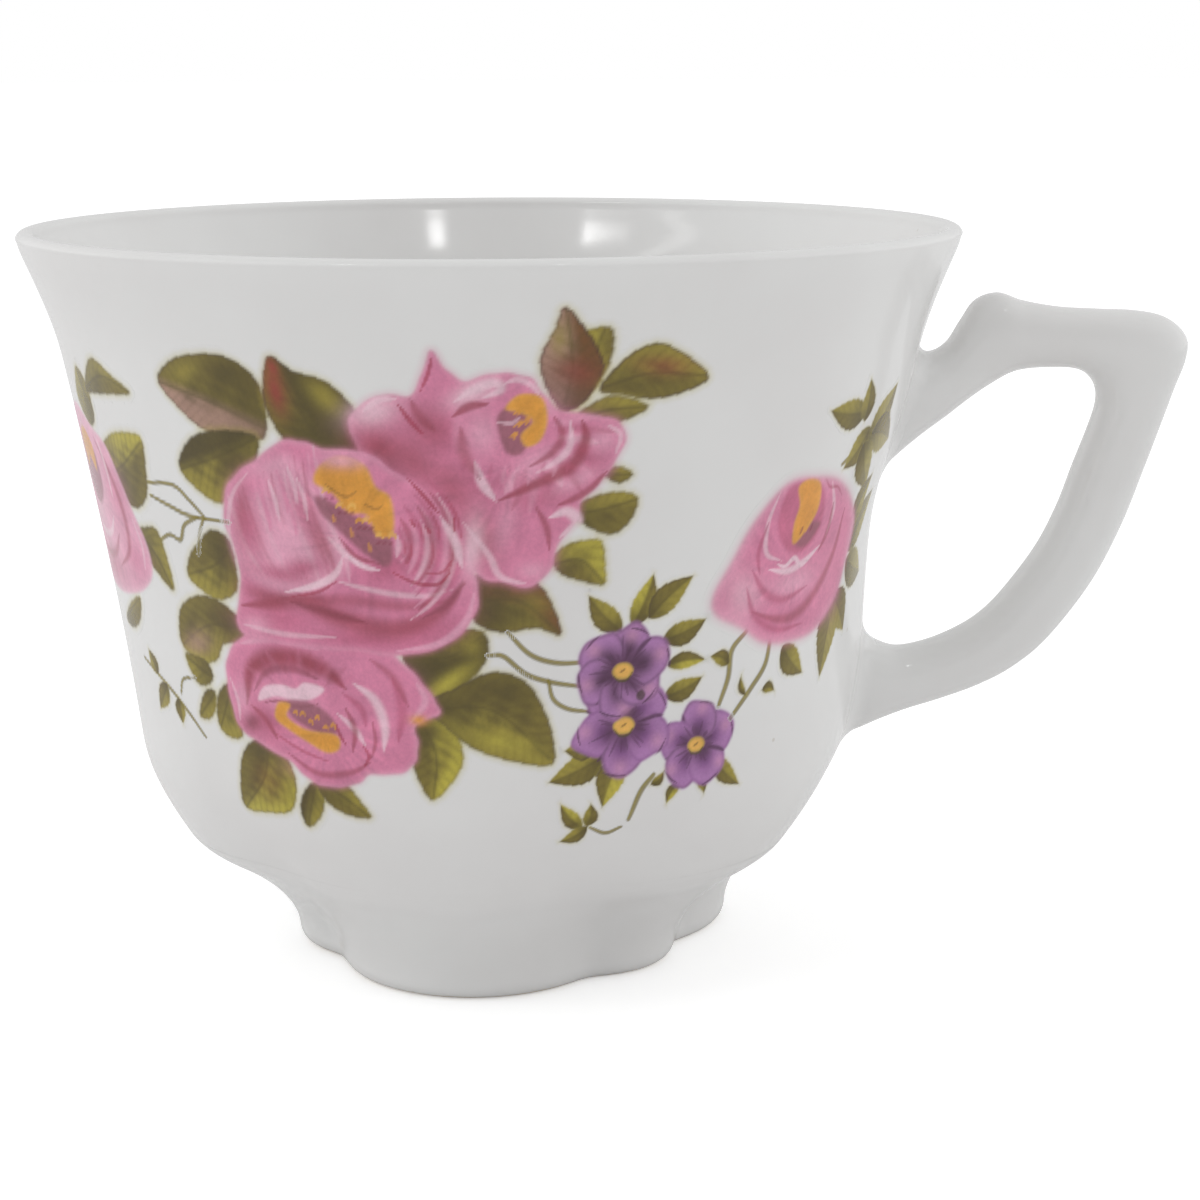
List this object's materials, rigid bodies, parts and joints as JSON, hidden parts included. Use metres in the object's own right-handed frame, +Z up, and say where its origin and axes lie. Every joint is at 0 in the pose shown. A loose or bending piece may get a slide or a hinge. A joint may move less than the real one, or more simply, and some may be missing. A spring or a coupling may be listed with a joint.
{
  "type": "teacup",
  "caption": "Flared porcelain teacup on a scalloped foot, with an angular ear-shaped handle, a thumb knob and a painted rose and violet spray.",
  "frame": {"origin": "centre of the foot ring, on the plane the cup stands on", "axes": "+Z up along the cup's axis, +X towards the handle"},
  "size_m": [0.1152, 0.092, 0.072],
  "materials": {
    "porcelain": "clear gloss glaze over white porcelain",
    "luting_slip": "fired slip under the same gloss glaze",
    "rose_enamel": "fired overglaze colour, glossy",
    "violet_enamel": "fired overglaze colour, glossy"
  },
  "bodies": {
    "root": {"bowl": "porcelain", "foot": "porcelain", "handle": "porcelain", "foot_slip": "luting_slip", "upper_root_slip": "luting_slip", "lower_root_slip": "luting_slip", "front_bouquet_transfer": "rose_enamel", "back_bouquet_transfer": "rose_enamel", "rosebud_transfer": "rose_enamel", "side_rose_transfer": "rose_enamel", "violet_transfer": "violet_enamel", "back_violet_transfer": "violet_enamel"}
  },
  "joints": []
}
